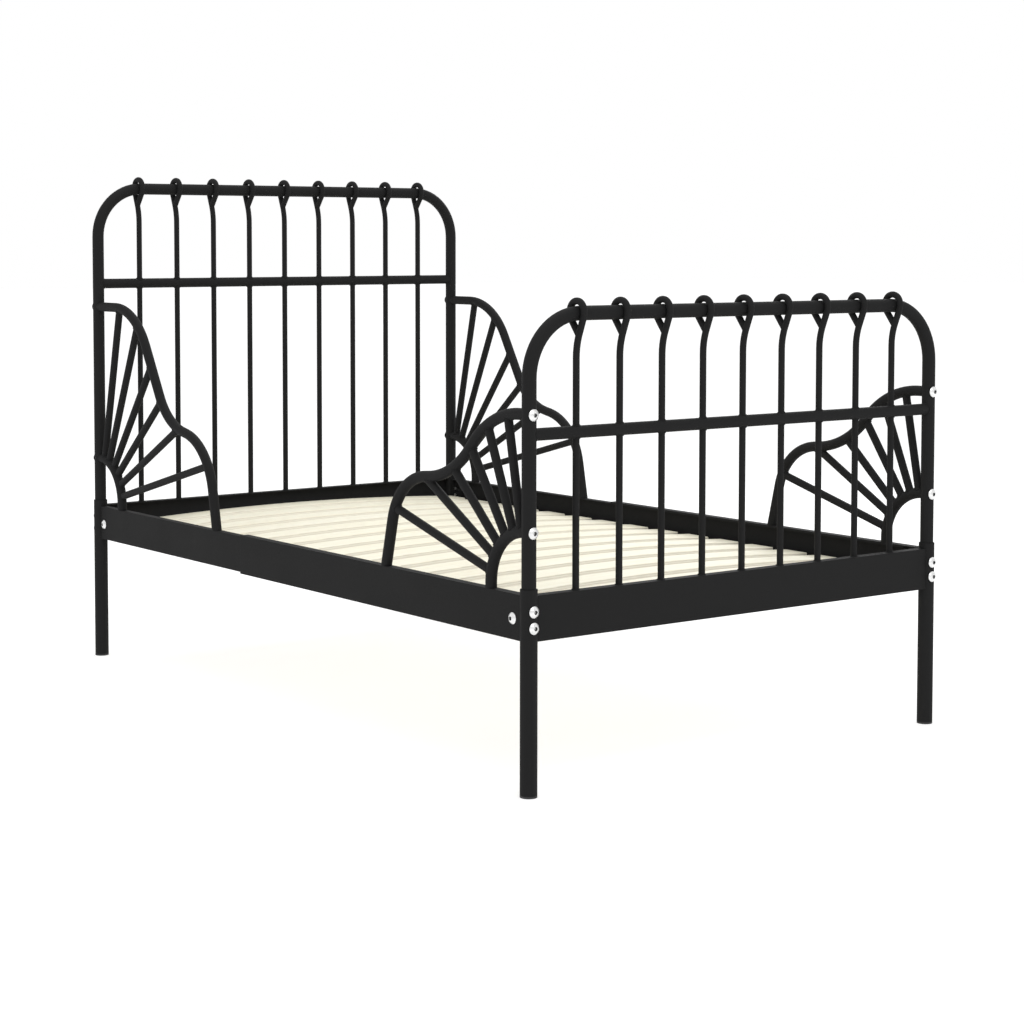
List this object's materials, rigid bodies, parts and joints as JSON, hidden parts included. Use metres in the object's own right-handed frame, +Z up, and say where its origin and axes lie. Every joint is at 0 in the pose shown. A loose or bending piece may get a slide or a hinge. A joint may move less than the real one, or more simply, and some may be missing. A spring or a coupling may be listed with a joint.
{
  "type": "toddler bed",
  "caption": "Extendable toddler bed: bent tube end panels with looped rods, telescoping side rails, fan side guards and crowned plywood slats.",
  "frame": {"origin": "on the floor, under the middle of the closed bed", "axes": "+Z up, +Y toward the headboard, X across the bed"},
  "size_m": [0.835, 1.3602, 0.9],
  "materials": {
    "black_steel": "satin black powder coat",
    "plywood": "clear lacquered birch or poplar plywood",
    "zinc_steel": "zinc plated",
    "cap_plastic": "moulded black plastic"
  },
  "bodies": {
    "foot_end": {"foot_corner_brackets": "black_steel", "foot_cross_rail": "black_steel", "foot_guard_bolts": "zinc_steel", "foot_guard_inserts": "zinc_steel", "foot_guard_left_arc": "black_steel", "foot_guard_left_rim": "black_steel", "foot_guard_left_spokes": "black_steel", "foot_guard_right_arc": "black_steel", "foot_guard_right_rim": "black_steel", "foot_guard_right_spokes": "black_steel", "foot_hoop": "black_steel", "foot_leg_bolts": "zinc_steel", "foot_leg_caps": "cap_plastic", "foot_leg_left": "black_steel", "foot_leg_right": "black_steel", "foot_mid_rail": "black_steel", "foot_rods": "black_steel", "foot_side_bolts": "zinc_steel", "foot_side_rail_left": "black_steel", "foot_side_rail_right": "black_steel", "foot_slat_ledge_left": "black_steel", "foot_slat_ledge_right": "black_steel", "slat_01": "plywood"},
    "head_end": {"head_corner_brackets": "black_steel", "head_cross_rail": "black_steel", "head_guard_bolts": "zinc_steel", "head_guard_inserts": "zinc_steel", "head_guard_left_arc": "black_steel", "head_guard_left_rim": "black_steel", "head_guard_left_spokes": "black_steel", "head_guard_right_arc": "black_steel", "head_guard_right_rim": "black_steel", "head_guard_right_spokes": "black_steel", "head_hoop": "black_steel", "head_leg_bolts": "zinc_steel", "head_leg_caps": "cap_plastic", "head_leg_left": "black_steel", "head_leg_right": "black_steel", "head_mid_rail": "black_steel", "head_rods": "black_steel", "head_side_bolts": "zinc_steel", "head_side_rail_left": "black_steel", "head_side_rail_right": "black_steel", "head_slat_ledge_left": "black_steel", "head_slat_ledge_right": "black_steel", "slat_16": "plywood"},
    "slat_02": {"slat_02": "plywood"},
    "slat_03": {"slat_03": "plywood"},
    "slat_04": {"slat_04": "plywood"},
    "slat_05": {"slat_05": "plywood"},
    "slat_06": {"slat_06": "plywood"},
    "slat_07": {"slat_07": "plywood"},
    "slat_08": {"slat_08": "plywood"},
    "slat_09": {"slat_09": "plywood"},
    "slat_10": {"slat_10": "plywood"},
    "slat_11": {"slat_11": "plywood"},
    "slat_12": {"slat_12": "plywood"},
    "slat_13": {"slat_13": "plywood"},
    "slat_14": {"slat_14": "plywood"},
    "slat_15": {"slat_15": "plywood"}
  },
  "joints": [
    {"name": "extension", "type": "slide", "parent": "foot_end", "child": "head_end", "axis": [0, 1, 0], "range_m": [0, 0.7]},
    {"name": "slat_02_spread", "type": "slide", "parent": "foot_end", "child": "slat_02", "axis": [0, 1, 0], "range_m": [0, 0.04667]},
    {"name": "slat_03_spread", "type": "slide", "parent": "foot_end", "child": "slat_03", "axis": [0, 1, 0], "range_m": [0, 0.09334]},
    {"name": "slat_04_spread", "type": "slide", "parent": "foot_end", "child": "slat_04", "axis": [0, 1, 0], "range_m": [0, 0.14]},
    {"name": "slat_05_spread", "type": "slide", "parent": "foot_end", "child": "slat_05", "axis": [0, 1, 0], "range_m": [0, 0.18667]},
    {"name": "slat_06_spread", "type": "slide", "parent": "foot_end", "child": "slat_06", "axis": [0, 1, 0], "range_m": [0, 0.23334]},
    {"name": "slat_07_spread", "type": "slide", "parent": "foot_end", "child": "slat_07", "axis": [0, 1, 0], "range_m": [0, 0.28]},
    {"name": "slat_08_spread", "type": "slide", "parent": "foot_end", "child": "slat_08", "axis": [0, 1, 0], "range_m": [0, 0.32667]},
    {"name": "slat_09_spread", "type": "slide", "parent": "foot_end", "child": "slat_09", "axis": [0, 1, 0], "range_m": [0, 0.37334]},
    {"name": "slat_10_spread", "type": "slide", "parent": "foot_end", "child": "slat_10", "axis": [0, 1, 0], "range_m": [0, 0.42]},
    {"name": "slat_11_spread", "type": "slide", "parent": "foot_end", "child": "slat_11", "axis": [0, 1, 0], "range_m": [0, 0.46667]},
    {"name": "slat_12_spread", "type": "slide", "parent": "foot_end", "child": "slat_12", "axis": [0, 1, 0], "range_m": [0, 0.51334]},
    {"name": "slat_13_spread", "type": "slide", "parent": "foot_end", "child": "slat_13", "axis": [0, 1, 0], "range_m": [0, 0.56]},
    {"name": "slat_14_spread", "type": "slide", "parent": "foot_end", "child": "slat_14", "axis": [0, 1, 0], "range_m": [0, 0.60667]},
    {"name": "slat_15_spread", "type": "slide", "parent": "foot_end", "child": "slat_15", "axis": [0, 1, 0], "range_m": [0, 0.65334]}
  ],
  "couplings": [
    {"joint": "slat_02_spread", "follows": "extension", "ratio": 0.066667},
    {"joint": "slat_03_spread", "follows": "extension", "ratio": 0.13333},
    {"joint": "slat_04_spread", "follows": "extension", "ratio": 0.2},
    {"joint": "slat_05_spread", "follows": "extension", "ratio": 0.26667},
    {"joint": "slat_06_spread", "follows": "extension", "ratio": 0.33333},
    {"joint": "slat_07_spread", "follows": "extension", "ratio": 0.4},
    {"joint": "slat_08_spread", "follows": "extension", "ratio": 0.46667},
    {"joint": "slat_09_spread", "follows": "extension", "ratio": 0.53333},
    {"joint": "slat_10_spread", "follows": "extension", "ratio": 0.6},
    {"joint": "slat_11_spread", "follows": "extension", "ratio": 0.66667},
    {"joint": "slat_12_spread", "follows": "extension", "ratio": 0.73333},
    {"joint": "slat_13_spread", "follows": "extension", "ratio": 0.8},
    {"joint": "slat_14_spread", "follows": "extension", "ratio": 0.86667},
    {"joint": "slat_15_spread", "follows": "extension", "ratio": 0.93333}
  ]
}
